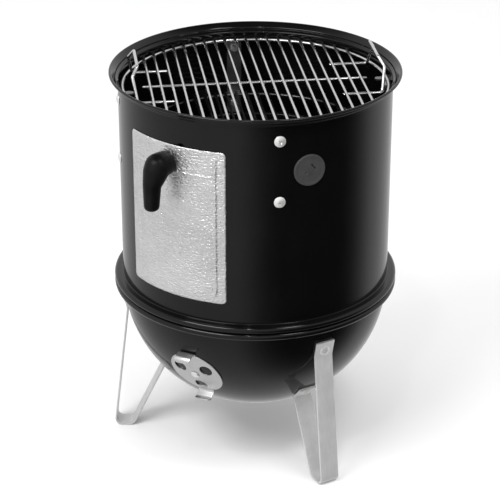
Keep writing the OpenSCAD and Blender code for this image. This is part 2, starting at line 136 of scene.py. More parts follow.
class Shape:
    """Vertices in millimetres and faces, gathered before they become a mesh."""

    def __init__(self):
        self.verts, self.faces, self.count = [], [], 0

    def add(self, verts, faces, matrix=None):
        v = np.asarray(verts, float).reshape(-1, 3)
        if matrix is not None:
            m = np.asarray(matrix, float)
            v = v @ m[:3, :3].T + m[:3, 3]
        self.verts.append(v)
        self.faces += [tuple(int(i) + self.count for i in f) for f in faces]
        self.count += len(v)
        return self

    def mesh(self, name):
        me = bpy.data.meshes.new(name)
        me.from_pydata((np.concatenate(self.verts) * MM).tolist(), [], self.faces)
        me.validate()
        face_outwards(me)
        me.update()
        return me


def revolved(outline, steps=256):
    """A closed outline of (radius, height) points turned about Z. Points on the axis become one vertex."""
    verts, index = [], []
    for r, z in outline:
        if abs(r) < 1e-6:
            index.append([len(verts)] * steps)
            verts.append((0, 0, z))
        else:
            index.append(list(range(len(verts), len(verts) + steps)))
            a = np.arange(steps) * 2 * math.pi / steps
            verts += np.stack([r * np.cos(a), r * np.sin(a), np.full(steps, z)], 1).tolist()
    faces = []
    for i in range(len(outline)):
        a, b = index[i], index[(i + 1) % len(outline)]
        if a[0] == a[1] and b[0] == b[1]:
            continue
        for k in range(steps):
            m = (k + 1) % steps
            f = [a[k], a[m], b[m], b[k]]
            f = [v for j, v in enumerate(f) if v not in f[:j]]
            if len(f) > 2:
                faces.append(f)
    return verts, faces


def tube(path, r, sides=14, closed=False, dome=True):
    """A round wire along points in space, its free ends domed."""
    p = np.asarray(path, float)
    n = len(p)
    t = np.roll(p, -1, 0) - np.roll(p, 1, 0) if closed else np.gradient(p, axis=0)
    if not closed:
        for i in range(1, n - 1):
            t[i] = unit(p[i] - p[i - 1]) + unit(p[i + 1] - p[i])
    t = t / np.linalg.norm(t, axis=1)[:, None]
    up = np.array([0, 0, 1.0])
    if abs(t[0] @ up) > 0.9:
        up = np.array([0, 1.0, 0])
    side = unit(np.cross(t[0], up))
    a = np.arange(sides) * 2 * math.pi / sides
    rings = []
    for i in range(n):
        side = unit(side - t[i] * (side @ t[i]))
        other = np.cross(t[i], side)
        rings.append((p[i], side.copy(), other, t[i]))
    loops = []
    if dome and not closed:
        c, s, o, d = rings[0]
        loops += [(c - d * r * math.sin(w) * 0.7, s, o, r * math.cos(w)) for w in (1.35, 0.95, 0.5)]
    loops += [(c, s, o, r) for c, s, o, d in rings]
    if dome and not closed:
        c, s, o, d = rings[-1]
        loops += [(c + d * r * math.sin(w) * 0.7, s, o, r * math.cos(w)) for w in (0.5, 0.95, 1.35)]
    verts = []
    for c, s, o, q in loops:
        verts += [c + q * (s * math.cos(x) + o * math.sin(x)) for x in a]
    faces = []
    m = len(loops)
    for i in range(m if closed else m - 1):
        j = (i + 1) % m
        faces += [(i * sides + k, i * sides + (k + 1) % sides, j * sides + (k + 1) % sides, j * sides + k)
                  for k in range(sides)]
    if not closed:
        faces.append(tuple(range(sides))[::-1])
        faces.append(tuple(range((m - 1) * sides, m * sides)))
    return verts, faces


def ring_path(r, z, n=200):
    a = np.arange(n) * 2 * math.pi / n
    return np.stack([r * np.cos(a), r * np.sin(a), np.full(n, z)], 1)


def strap(line, width, t, soft=0.5, cross=2):
    """A strap of rectangular section with softened edges along a line in the XZ plane.
    width is one number or one for each point. The ends are closed."""
    p = np.asarray(line, float)
    widths = np.broadcast_to(np.asarray(width, float), (len(p),))
    d = np.gradient(p, axis=0)
    for i in range(1, len(p) - 1):
        d[i] = unit(p[i] - p[i - 1]) + unit(p[i + 1] - p[i])
    d = d / np.linalg.norm(d, axis=1)[:, None]
    out = np.stack([-d[:, 1], d[:, 0]], 1)
    verts, size = [], 0
    for c, o, w in zip(p, out, widths):
        h, k = w / 2, t / 2
        s = min(soft, h * 0.9)
        q = []
        for sx, sy in ((1, 1), (-1, 1), (-1, -1), (1, -1)):
            corner = []
            for b in np.linspace(0, 90, cross + 1):
                cx, cy = math.cos(math.radians(b)), math.sin(math.radians(b))
                corner.append((sx * (h - s + s * cx), sy * (k - s + s * cy)))
            q += corner if sx * sy > 0 else corner[::-1]
        size = len(q)
        verts += [(c[0] + o[0] * y, x, c[1] + o[1] * y) for x, y in q]
    faces = []
    for i in range(len(p) - 1):
        a, b = i * size, (i + 1) * size
        faces += [(a + k, a + (k + 1) % size, b + (k + 1) % size, b + k) for k in range(size)]
    faces.append(tuple(range(size))[::-1])
    faces.append(tuple(range((len(p) - 1) * size, len(p) * size)))
    return verts, faces


def turn_z(az):
    return np.array(Matrix.Rotation(math.radians(az), 4, "Z"))


def on_ball(az, el, r, spin=0):
    """Frame on the ball: +Z out of it, +X downhill."""
    m = (Matrix.Translation((0, 0, BOWL_Z)) @ Matrix.Rotation(math.radians(az), 4, "Z")
         @ Matrix.Rotation(math.radians(90 - el), 4, "Y") @ Matrix.Translation((0, 0, r))
         @ Matrix.Rotation(math.radians(spin), 4, "Z"))
    return np.array(m)


def on_wall(az, z, r, spin=0):
    """Frame on the wall: +Z out of it, +X down."""
    m = (Matrix.Translation((0, 0, z)) @ Matrix.Rotation(math.radians(az), 4, "Z")
         @ Matrix.Rotation(math.radians(90), 4, "Y") @ Matrix.Translation((0, 0, r))
         @ Matrix.Rotation(math.radians(spin), 4, "Z"))
    return np.array(m)


def cylinder(r, z0, z1, steps=48):
    return revolved([(0, z0), (r, z0), (r, z1), (0, z1)], steps)


def temporary(mesh):
    o = bpy.data.objects.new("cutter", mesh)
    bpy.context.scene.collection.objects.link(o)
    return o


def cut(mesh, cutters):
    """A mesh with the cutter meshes taken away."""
    whole = temporary(mesh)
    tools = [temporary(c) for c in cutters]
    for tool in tools:
        m = whole.modifiers.new("cut", "BOOLEAN")
        m.operation, m.solver, m.object = "DIFFERENCE", "EXACT", tool
    dg = bpy.context.evaluated_depsgraph_get()
    made = bpy.data.meshes.new_from_object(whole.evaluated_get(dg))
    for o in [whole] + tools:
        bpy.data.objects.remove(o)
    return made


def smooth(mesh, angle=35, true_normal=None):
    """Smooth shading, with sharp edges past the angle. true_normal(p, n) gives the exact normal at a
    point of a face whose normal is n, or None, so that cut faces still shade as part of a round surface."""
    mesh.shade_smooth()
    mesh.set_sharp_from_angle(angle=math.radians(angle))
    if true_normal is None:
        return
    normals = [tuple(n.vector) for n in mesh.corner_normals]
    for poly in mesh.polygons:
        n = np.array(poly.normal)
        for li in poly.loop_indices:
            p = np.array(mesh.vertices[mesh.loops[li].vertex_index].co) / MM
            exact = true_normal(p, n)
            if exact is not None:
                exact = exact if exact @ n > 0 else -exact
                if exact @ n > 0.97:
                    normals[li] = tuple(exact)
    mesh.normals_split_custom_set(normals)


def place(name, mesh, material, body, replaced):
    o = bpy.data.objects.new(name, mesh)
    bpy.context.scene.collection.objects.link(o)
    mesh.materials.clear()
    mesh.materials.append(material)
    for poly in mesh.polygons:
        poly.material_index = 0
    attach(o, body)
    if replaced:
        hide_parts(*replaced)
    return o


# ---- Materials ----

class Nodes:
    """A node material whose texture space is the object's own, in metres."""

    def __init__(self, name):
        self.material = bpy.data.materials.new(name)
        self.material.use_nodes = True
        self.tree = self.material.node_tree
        self.shader = self.tree.nodes["Principled BSDF"]
        self.where = self.new("ShaderNodeTexCoord").outputs["Object"]

    def new(self, kind, **settings):
        n = self.tree.nodes.new(kind)
        for key, value in settings.items():
            setattr(n, key, value)
        return n

    def link(self, a, b):
        self.tree.links.new(a, b)

    def set(self, **values):
        for key, value in values.items():
            self.shader.inputs[key.replace("_", " ")].default_value = value

    def mapped(self, scale=(1, 1, 1), rotation=(0, 0, 0)):
        m = self.new("ShaderNodeMapping")
        m.inputs["Scale"].default_value = scale
        m.inputs["Rotation"].default_value = rotation
        self.link(self.where, m.inputs["Vector"])
        return m.outputs["Vector"]

    def noise(self, scale, detail=3, rough=0.5, vector=None, distortion=0):
        n = self.new("ShaderNodeTexNoise")
        n.inputs["Scale"].default_value = scale
        n.inputs["Detail"].default_value = detail
        n.inputs["Roughness"].default_value = rough
        n.inputs["Distortion"].default_value = distortion
        self.link(vector or self.where, n.inputs["Vector"])
        return n.outputs["Fac"]

    def ranged(self, value, low, high, to_low, to_high, smooth_step=False):
        m = self.new("ShaderNodeMapRange", interpolation_type="SMOOTHSTEP" if smooth_step else "LINEAR")
        for key, v in zip(("From Min", "From Max", "To Min", "To Max"), (low, high, to_low, to_high)):
            m.inputs[key].default_value = v
        self.link(value, m.inputs["Value"])
        return m.outputs["Result"]

    def sum(self, a, b, operation="ADD"):
        m = self.new("ShaderNodeMath", operation=operation)
        for socket, value in zip(m.inputs, (a, b)):
            if isinstance(value, (int, float)):
                socket.default_value = value
            else:
                self.link(value, socket)
        return m.outputs[0]

    def colours(self, value, *stops):
        ramp = self.new("ShaderNodeValToRGB")
        e = ramp.color_ramp.elements
        while len(e) < len(stops):
            e.new(0.5)
        for element, (at, colour) in zip(e, stops):
            element.position = at
            element.color = (*colour, 1)
        self.link(value, ramp.inputs["Fac"])
        return ramp.outputs["Color"]

    def bump(self, height, distance, strength=1.0, under=None):
        b = self.new("ShaderNodeBump")
        b.inputs["Distance"].default_value = distance
        b.inputs["Strength"].default_value = strength
        self.link(height, b.inputs["Height"])
        if under is not None:
            self.link(under, b.inputs["Normal"])
        return b.outputs["Normal"]

    def finish(self, colour=None, roughness=None, normal=None, **values):
        self.set(**values)
        for socket, name in ((colour, "Base Color"), (roughness, "Roughness"), (normal, "Normal")):
            if socket is not None:
                self.link(socket, self.shader.inputs[name])
        return self.material


def grey(v, warm=0.0):
    return (v * (1 + warm), v, v * (1 - warm))


def make_enamel():
    """Gloss black porcelain enamel: faint orange peel, a thin film of dust and a few wiped smears."""
    m = Nodes("black_enamel")
    film = m.noise(9, 4, 0.6)
    smear = m.noise(38, 3, 0.65, m.mapped((1, 1, 0.22), (0.4, 0.2, 0)))
    both = m.sum(m.sum(film, 0.6, "MULTIPLY"), m.sum(smear, 0.4, "MULTIPLY"))
    peel = m.noise(420, 1, 0.4)
    wave = m.noise(22, 2, 0.4)
    bump = m.bump(peel, 0.00002, 0.5, m.bump(wave, 0.00012, 0.5))
    return m.finish(
        m.colours(both, (0.3, grey(0.002)), (0.55, grey(0.003)), (0.8, grey(0.006, 0.02))),
        m.ranged(both, 0.3, 0.75, 0.07, 0.2), bump,
        Specular_IOR_Level=0.22, Coat_Weight=0.12, Coat_Roughness=0.04)


def make_door():
    """Stucco-embossed aluminium sheet: pressed strokes, cloudy oxide and light handling marks."""
    m = Nodes("embossed_aluminium")
    strokes = m.noise(230, 2, 0.55, m.mapped((1, 1, 2.1)), 0.6)
    fine = m.noise(1500, 2, 0.6)
    cloud = m.noise(14, 4, 0.6)
    marks = m.noise(60, 3, 0.7, m.mapped((1, 1, 0.12), (0, 0.9, 0)))
    tone = m.sum(m.sum(cloud, 0.5, "MULTIPLY"), m.sum(strokes, 0.5, "MULTIPLY"))
    rough = m.sum(m.ranged(marks, 0.35, 0.7, 0.26, 0.38), m.ranged(cloud, 0.3, 0.7, -0.03, 0.05))
    bump = m.bump(fine, 0.00003, 0.4, m.bump(strokes, 0.0013, 1.0))
    return m.finish(m.colours(tone, (0.3, grey(0.58)), (0.5, grey(0.72)), (0.72, grey(0.82))), rough, bump,
                    Metallic=1.0)


def make_metal(name, low, high, rough, grain=(1, 1, 1), scale=300, depth=0.00002, turn=(0, 0, 0), warm=0.0,
               bare=1.0):
    """Bare or plated metal: grain along one direction, cloudy tone and worn spots."""
    m = Nodes(name)
    lines = m.noise(scale, 3, 0.6, m.mapped(grain, turn))
    cloud = m.noise(26, 4, 0.6)
    spots = m.noise(95, 2, 0.5)
    tone = m.sum(m.sum(lines, 0.45, "MULTIPLY"), m.sum(cloud, 0.55, "MULTIPLY"))
    roughness = m.sum(m.ranged(tone, 0.3, 0.7, rough[0], rough[1]), m.ranged(spots, 0.62, 0.75, 0, 0.1))
    return m.finish(m.colours(tone, (0.3, grey(low, warm)), (0.7, grey(high, warm))), roughness,
                    m.bump(lines, depth, 0.6), Metallic=bare)


def make_knob():
    """Moulded black nylon: fine spark texture, polished a little where it is held."""
    m = Nodes("black_nylon")
    grain = m.noise(1300, 2, 0.6)
    flow = m.noise(40, 3, 0.6)
    return m.finish(m.colours(flow, (0.3, grey(0.003)), (0.7, grey(0.006, 0.01))),
                    m.sum(m.ranged(flow, 0.3, 0.7, 0.3, 0.4), m.ranged(grain, 0.3, 0.7, -0.04, 0.04)),
                    m.bump(grain, 0.00004, 0.6), Specular_IOR_Level=0.1)


def make_silicone():
    """Dark grey silicone rubber with a dusty bloom."""
    m = Nodes("silicone")
    bloom = m.noise(70, 4, 0.65)
    grain = m.noise(1800, 2, 0.6)
    return m.finish(m.colours(bloom, (0.3, grey(0.032)), (0.7, grey(0.044, 0.01))),
                    m.ranged(bloom, 0.3, 0.7, 0.55, 0.75), m.bump(grain, 0.00003, 0.5),
                    Specular_IOR_Level=0.4)


enamel = make_enamel()
door_sheet = make_door()
strap_metal = make_metal("rolled_strap", 0.56, 0.68, (0.42, 0.56), (1, 1, 0.1), 420, 0.00004, bare=0.45)
damper_metal = make_metal("satin_aluminium", 0.56, 0.68, (0.34, 0.46), (1, 0.12, 1), 500, 0.00002)
plating = make_metal("nickel_plating", 0.66, 0.8, (0.28, 0.38), (1, 1, 1), 600, 0.00002,
                     warm=0.01, bare=0.6)
# Zinc-plated sheet for the brackets, charcoal supports and latch tongue inside the body: its colour is
# darkened to paint the shade inside the bowl.
shade_darkened_steel = make_metal("zinc_sheet_painted_shade", 0.26, 0.36, (0.3, 0.45), (1, 1, 0.2), 350, 0.00003,
                           warm=0.01)
grate_wire = make_metal("chromed_wire", 0.52, 0.64, (0.14, 0.24), (1, 1, 1), 260, 0.00003)
# The lower grate's wire: the same chromed wire as the upper grate, its colour darkened to paint the shade
# inside the bowl.
shade_darkened_wire = make_metal("wire_painted_shade", 0.08, 0.13, (0.24, 0.36), (1, 1, 1), 260, 0.00003)
charcoal_steel = make_metal("rolled_steel", 0.3, 0.42, (0.35, 0.55), (1, 1, 0.3), 240, 0.00005, warm=0.02)
knob_plastic = make_knob()
silicone = make_silicone()


# ---- Bowl and middle section ----

def ball_normal(p, n):
    v = p - np.array((0, 0, BOWL_Z))
    d = np.linalg.norm(v)
    return v / d if 177 < d < 181.6 and p[2] < 224 else None


def wall_normal(p, n):
    d = math.hypot(p[0], p[1])
    return np.array((p[0] / d, p[1] / d, 0)) if 176 < d < 181 and 250 < p[2] < 510 else None


def bowl_mesh():
    t = 1.5
    low = arc((0, BOWL_Z), BODY_R - t / 2, -90, -2.2, 72)
    bead_mid = BEAD_R, SEAM_Z - 5
    bead_top = bead_mid[1] + 3.95
    line = low[:-1] + bent([low[-1], (BODY_R - t / 2, bead_top), (BEAD_R, bead_top)], [1.6], 5)
    line += arc(bead_mid, 3.95, 90, -90, 14)[1:] + [(182.6, bead_mid[1] - 3.95)]
    outline = sheet_outline(line, t)
    whole = Shape().add(*revolved([(max(0, r), z) for r, z in outline])).mesh("bowl_shell")
    cutters = []
    verts, faces = cylinder(VENT_R, 168, 190)
    for _, az in DAMPERS:
        for k in range(3):
            turned = on_ball(az, DAMPER_EL, 0, DAMPER_TURN + 60 + 120 * k)
            cutters.append(Shape().add(np.asarray(verts) + (VENT_RING_R, 0, 0), faces, turned).mesh("hole"))
    made = cut(whole, cutters)
    smooth(made, 40, ball_normal)
    return made


def middle_mesh():
    t = 1.2
    r = BODY_R - t / 2
    seat_r = r + 4
    flare = bent([(r, 512), (r, RIM_Z - 12), (seat_r, RIM_Z - 9.5), (seat_r, RIM_Z - 7),
                  (RIM_R - 2, RIM_Z - 2)], [1.4, 1.2, 1.4], 5)
    line = bent([(177, SEAM_Z - 10), (177, SEAM_Z + 0.6), (BEAD_R, SEAM_Z + 0.6)], [1.2], 4)
    line += arc((BEAD_R, SEAM_Z + 4.7), 4.1, -90, 90, 14)[1:]
    line += bent([(BEAD_R - 0.1, SEAM_Z + 8.8), (r, SEAM_Z + 8.8), (r, 300)], [1.6], 5)[1:-1]
    line += subdivided([(r, 256), (r, 500)], 16)
    up = unit(np.subtract(flare[-1], flare[-2]))
    line += flare[:-1]
    a0 = math.degrees(math.atan2(up[0], -up[1]))
    line += arc(flare[-1], 1.4, a0, a0 - 285, 14)
    whole = Shape().add(*revolved(sheet_outline(line, t))).mesh("middle_shell")

    sector = Shape()
    span = np.radians(np.linspace(-20.28, 20.28, 25) + DOOR_AZ)
    rows = [(174, 285), (186, 285), (186, 469.5), (174, 469.5)]
    verts = [(q * math.cos(a), q * math.sin(a), z) for a in span for q, z in rows]
    faces = [(i * 4 + k, i * 4 + (k + 1) % 4, (i + 1) * 4 + (k + 1) % 4, (i + 1) * 4 + k)
             for i in range(24) for k in range(4)] + [(3, 2, 1, 0), (96, 97, 98, 99)]
    sector.add(verts, faces)
    neck = Shape().add([(x, y, z) for x in (174, 186) for y in (-6, 6) for z in (468, 479.5)],
                       [(0, 1, 3, 2), (4, 6, 7, 5), (0, 4, 5, 1), (2, 3, 7, 6), (0, 2, 6, 4), (1, 5, 7, 3)],
                       turn_z(NOTCH_AZ))
    cutters = [sector.mesh("door_way"), neck.mesh("notch_neck"),
               Shape().add(*cylinder(6.2, -6, 6), on_wall(NOTCH_AZ, NOTCH_Z, BODY_R)).mesh("notch"),
               Shape().add(*cylinder(15, -6, 6), on_wall(GROMMET_AZ, GROMMET_Z, BODY_R)).mesh("round_hole")]
    made = cut(whole, cutters)
    smooth(made, 40, wall_normal)
    return made


place("bowl_enamel", bowl_mesh(), enamel, "base", ["bowl"])
place("middle_enamel", middle_mesh(), enamel, "middle", ["middle_section"])


# ---- Legs ----

def leg_line():
    def ball(el, r):
        return np.array((r * math.cos(math.radians(el)), BOWL_Z + r * math.sin(math.radians(el))))

    def uphill(el):
        return np.array((-math.sin(math.radians(el)), math.cos(math.radians(el))))

    r = BODY_R + 1.5
    a, f = ball(LEG_HIGH_EL, r), ball(LEG_LOW_EL, r)
    points = [a + 14 * uphill(LEG_HIGH_EL), a - 9 * uphill(LEG_HIGH_EL), (197, 1.5), (172, 1.5),
              f - 13 * uphill(LEG_LOW_EL), f + 11 * uphill(LEG_LOW_EL)]
    return subdivided(bent(points, [14, 9, 9, 5], 12), 12)


def leg_shape(az):
    return Shape().add(*strap(leg_line(), 27, 3, 0.6), turn_z(az))


for name, az in zip(("right", "rear", "left"), LEG_AZS):
    made = leg_shape(az).mesh(f"leg_{name}_strap")
    smooth(made, 35)
    place(f"leg_{name}_strap", made, strap_metal, "base", [f"leg_{name}"])


# ---- Screws, nuts and rivets ----

def screw_head():
    """Truss head with a tapered cross recess, its underside at z = 0."""
    wide = 0.82
    dome = [(0, 3.2)]
    for w in np.linspace(0.1, wide, 9):
        dome.append((7.3 * math.sin(w) / math.sin(wide),
                     3.2 - 2.55 * (1 - math.cos(w)) / (1 - math.cos(wide))))
    outline = dome + [(7.4, 0.35), (7.3, 0.05), (7.0, 0), (0, 0)]
    head = Shape().add(*revolved(outline[::-1], 48)).mesh("screw_head")
    wing = []
    for x, z in ((3.6, 3.6), (1.6, 1.5)):
        wing += [(-x, -0.55, z), (x, -0.55, z), (x, 0.55, z), (-x, 0.55, z)]
    box = [(0, 1, 2, 3), (7, 6, 5, 4), (4, 5, 1, 0), (5, 6, 2, 1), (6, 7, 3, 2), (7, 4, 0, 3)]
    cutters = [Shape().add(wing, box, turn_z(a)).mesh("recess") for a in (0, 90)]
    made = cut(head, cutters)
    verts = np.array([v.co for v in made.vertices]) / MM
    return verts, [tuple(p.vertices) for p in made.polygons]


def hex_nut():
    """Hexagon nut with its corners chamfered, above z = 0."""
    verts, faces = [], []
    for z, r in ((0, 5.4), (0.35, 5.8), (3.65, 5.8), (4, 5.4)):
        verts += [(r * math.cos(math.radians(a)), r * math.sin(math.radians(a)), z) for a in range(0, 360, 60)]
    for i in range(3):
        a, b = i * 6, i * 6 + 6
        faces += [(a + k, a + (k + 1) % 6, b + (k + 1) % 6, b + k) for k in range(6)]
    faces += [(5, 4, 3, 2, 1, 0), (18, 19, 20, 21, 22, 23)]
    return verts, faces


def thread_end(length):
    """End of a screw: two turns' worth of thread crests and a chamfer, above z = 0."""
    outline = [(0, 0), (2.9, 0)]
    z = 0.3
    while z < length - 0.8:
        outline += [(2.95, z), (2.55, z + 0.4)]
        z += 0.8
    return revolved(outline + [(2.3, length), (0, length)], 24)


head = screw_head()
leg_heads, leg_ends = Shape(), Shape()
for az in LEG_AZS:
    for el, spin, nut_r, tip in ((LEG_HIGH_EL, 24, 171.7, 1.7), (LEG_LOW_EL, 61, 174.2, 2.2)):
        leg_heads.add(*head, on_ball(az, el, BODY_R + 3, spin + az))
        leg_ends.add(*hex_nut(), on_ball(az, el, nut_r, 15))
        inward = on_ball(az, el, nut_r) @ np.diag((1, -1, -1, 1))
        leg_ends.add(*thread_end(tip), inward)
bracket_heads, bracket_ends = Shape(), Shape()
for k in range(4):
    az = BRACKET_AZ + 90 * k
    for z, spin in zip(SCREW_ZS, (34, 8)):
        bracket_heads.add(*head, on_wall(az, z, BODY_R, spin + 37 * k))
        bracket_ends.add(*hex_nut(), on_wall(az, z, 172.3, 10 + 25 * k))
        inward = on_wall(az, z, 172.3) @ np.diag((1, -1, -1, 1))
        bracket_ends.add(*thread_end(1.3), inward)
for name, shape, body, node in (("leg_screw_heads", leg_heads, "base", "leg_screws"),
                                ("leg_nuts_and_ends", leg_ends, "base", "leg_nuts"),
                                ("bracket_screw_heads", bracket_heads, "middle", "bracket_screws"),
                                ("bracket_nuts_and_ends", bracket_ends, "middle", "bracket_nuts")):
    made = shape.mesh(name)
    smooth(made, 32)
    place(name, made, plating, body, [node])

rivets = Shape()
for _, az in DAMPERS:
    z0 = 181.75
    dome = [(6 * math.sin(w), z0 + 2.5 - 2.3 * (1 - math.cos(w))) for w in np.linspace(0.2, math.pi / 2, 7)]
    shank = [(5.7, z0), (3, z0), (3, 178.2)]
    tail = [(5.8, 178.2), (6, 177.9), (6, 177), (5.4, 176.5), (0, 176.5)]
    outline = [(0, z0 + 2.5)] + dome + shank + tail
    rivets.add(*revolved(outline[::-1], 40), on_ball(az, DAMPER_EL, 0))
made = rivets.mesh("rivets")
smooth(made, 35)
place("damper_rivet_heads", made, plating, "base", ["damper_rivets"])


# ---- Dampers ----

def damper_shape():
    """Dished disc with three air holes and two curled finger tabs, in the frame of on_ball(..., 0)."""
    r0, t, edge = 180.3, 1.4, 38
    top = [(r, math.sqrt((r0 + t) ** 2 - r * r)) for r in (0, 6, 12, 20, 28, 34, 37.6)]
    rim = [(38, math.sqrt((r0 + t) ** 2 - edge ** 2) - 0.35), (38, math.sqrt(r0 ** 2 - edge ** 2) + 0.35)]
    under = [(r, math.sqrt(r0 ** 2 - r * r)) for r in (37.6, 34, 28, 20, 12, 6, 0)]
    disc = Shape().add(*revolved((top + rim + under)[::-1], 96)).mesh("disc")
    cutters = []
    for k in range(3):
        verts, faces = cylinder(VENT_R, 170, 190)
        moved = np.asarray(verts) + (VENT_RING_R, 0, 0)
        cutters.append(Shape().add(moved, faces, turn_z(120 * k)).mesh("vent"))
    cutters.append(Shape().add(*cylinder(3.1, 170, 190, 32)).mesh("rivet_hole"))
    made = cut(disc, cutters)
    shape = Shape().add(np.array([v.co for v in made.vertices]) / MM,
                        [tuple(p.vertices) for p in made.polygons])
    z = math.sqrt(r0 ** 2 - edge ** 2) + t / 2
    line = bent([(-6, z + 1.15), (7.2, z - 1.3), (9.8, z + 11.5), (5.6, z + 16.3)], [4.2, 7], 9)
    line = subdivided(line, 2)
    p = np.asarray(line)
    left = np.concatenate([np.cumsum(np.linalg.norm(np.diff(p, axis=0), axis=1)[::-1])[::-1], [0]])
    width = [24 - 2 * (4.5 - math.sqrt(max(0, 4.5 ** 2 - max(0, 4.5 - s) ** 2))) for s in left]
    for spin in (0, 180):
        verts, faces = strap(line, width, t, 0.45)
        shape.add(np.asarray(verts) + (edge - 4, 0, 0), faces, turn_z(spin))
    return shape


disc = damper_shape()
for name, az in DAMPERS:
    part = Shape().add(np.concatenate(disc.verts), disc.faces, on_ball(az, DAMPER_EL, 0, DAMPER_TURN))
    made = part.mesh(f"damper_{name}_plate")
    smooth(made, 35)
    place(f"damper_{name}_plate", made, damper_metal, f"damper_{name}_disc", [f"damper_{name}"])


# ---- Door ----

def door_mesh():
    """Curved sheet on a fine grid: pressed stucco, two ribs, a crease between them and rounded corners."""
    half_w, low, high = 24.1, 273.0, 481.5
    nx, nz = 150, 208
    u = np.linspace(-1, 1, nx + 1)
    v = np.linspace(0, 1, nz + 1)
    arc_w = math.radians(half_w) * 180.9
    s, z = np.meshgrid(u * arc_w, low + v * (high - low), indexing="ij")
    corner = 6.0
    edge = np.minimum(arc_w - np.abs(s), np.minimum(z - low, high - z))
    for sx in (-1, 1):
        for cz, sz in ((low, 1), (high, -1)):
            cx, cy = sx * (arc_w - corner), cz + sz * corner
            inside = (s * sx > cx * sx) & ((z - cy) * sz < 0)
            dx, dz = s - cx, z - cy
            d = np.maximum(np.maximum(np.abs(dx), np.abs(dz)), 1e-6)
            scale = d / np.maximum(np.hypot(dx, dz), 1e-6)
            s = np.where(inside, cx + dx * scale, s)
            z = np.where(inside, cy + dz * scale, z)
    rng = np.random.default_rng(7)
    lift = np.zeros_like(s)
    for wave, height in ((34, 0.16), (12, 0.05), (4.6, 0.085), (3.1, 0.08)):
        for _ in range(9):
            a, ph = rng.uniform(0, math.pi), rng.uniform(0, 2 * math.pi)
            k = 2 * math.pi / (wave * rng.uniform(0.8, 1.25))
            lift += height / 3 * np.sin(k * (s * math.cos(a) + z * math.sin(a)) + ph)
    rib = math.radians(19.64) * 180.9

    def ridge(distance, width, height):
        return height * np.exp(-(distance / width) ** 2)

    ends = 1 / (1 + np.exp(-(z - low - 11) / 0.8)) / (1 + np.exp((z - high + 10) / 0.8))
    for side in (-1, 1):
        off = s - side * rib
        lift += (ridge(off, 1.9, 0.95) - ridge(np.abs(off) - 3.4, 0.8, 0.2)) * ends
        lift += ridge(np.hypot(s - side * rib, z - high + 11), 1.7, 0.5)
    across = 1 / (1 + np.exp((np.abs(s) - rib + 2.5) / 0.6))
    lift += ridge(z - 446.8, 1.1, 0.7) * across
    lift -= ridge(z - 449.2, 1.2, 0.25) * across
    lift *= np.clip(edge / 3, 0, 1)
    roll = 0.6 * (1 - np.sqrt(np.clip(1 - (1 - np.clip(edge, 0, 0.6) / 0.6) ** 2, 0, 1)))
    rows = []
    for r in (181.5 + np.clip(lift, -0.3, 0.8) - roll, 180.3 + 0.35 * np.clip(lift, 0, 1) + roll):
        a = math.radians(DOOR_AZ) + s / 180.9
        rows.append(np.stack([r * np.cos(a), r * np.sin(a), z], -1).reshape(-1, 3))
    n = (nx + 1) * (nz + 1)
    grid = np.arange(n).reshape(nx + 1, nz + 1)
    quads = np.stack([grid[:-1, :-1], grid[1:, :-1], grid[1:, 1:], grid[:-1, 1:]], -1).reshape(-1, 4)
    loop = list(grid[:, 0]) + list(grid[-1, 1:]) + list(grid[-2::-1, -1]) + list(grid[0, -2:0:-1])
    side = [(a, a + n, b + n, b) for a, b in zip(loop, loop[1:] + loop[:1])]
    faces = [tuple(q) for q in quads] + [tuple(q[::-1] + n) for q in quads] + side
    made = Shape().add(np.concatenate(rows), faces).mesh("door_embossed")
    smooth(made, 50)
    return made


place("door_embossed", door_mesh(), door_sheet, "door", ["door_panel"])


def knob_mesh():
    """Dome over the screw, a neck that comes forward, and a lever that hangs down, melted into one skin."""
    steps = []

    def balls(a, ra, b, rb, n):
        for k in range(n + 1):
            w = k / n
            steps.append((tuple(np.asarray(a) * (1 - w) + np.asarray(b) * w), ra * (1 - w) + rb * w))

    balls((0, 0, 17.5), 16.6, (6, 0, 21), 16.2, 6)
    balls((6, 0, 21), 16.2, (21, 0, 28.6), 11.9, 14)
    balls((21, 0, 28.6), 11.9, (48.5, 0, 30.2), 10.2, 24)
    shape = Shape()
    for centre, r in steps:
        verts, faces = [], []
        rings, sides = 17, 36
        for i in range(rings + 1):
            w = math.pi * i / rings
            for k in range(sides):
                a = 2 * math.pi * k / sides
                verts.append((r * math.sin(w) * math.cos(a), r * math.sin(w) * math.sin(a), r * math.cos(w)))
        for i in range(rings):
            faces += [(i * sides + k, (i + 1) * sides + k, (i + 1) * sides + (k + 1) % sides,
                       i * sides + (k + 1) % sides) for k in range(sides)]
        shape.add(np.asarray(verts) + centre, faces)
    foot = [(0, 0.35), (14.6, 0.35), (15.4, 1.2), (16.2, 8), (16.6, 17.5), (0, 17.5)]
    shape.add(*revolved(foot, 64))
    o = temporary(shape.mesh("knob_parts"))
    for kind, settings in (("REMESH", {"mode": "VOXEL", "voxel_size": 0.0009}),
                           ("SMOOTH", {"factor": 0.5, "iterations": 12})):
        m = o.modifiers.new(kind, kind)
        for key, value in settings.items():
            setattr(m, key, value)
    dg = bpy.context.evaluated_depsgraph_get()
    made = bpy.data.meshes.new_from_object(o.evaluated_get(dg))
    bpy.data.objects.remove(o)
    co = np.array([v.co for v in made.vertices]) / MM
    co[:, 0] = np.where(co[:, 0] > 52, 52 + (co[:, 0] - 52) * 0.72, co[:, 0])
    m = on_wall(LATCH_AZ, LATCH_Z, KNOB_BASE_R)
    co = co @ m[:3, :3].T + m[:3, 3]
    made.vertices.foreach_set("co", (co * MM).ravel())
    made.update()
    smooth(made, 60)
    return made


place("latch_knob", knob_mesh(), knob_plastic, "latch", ["door_knob"])


# ---- Grommet ----

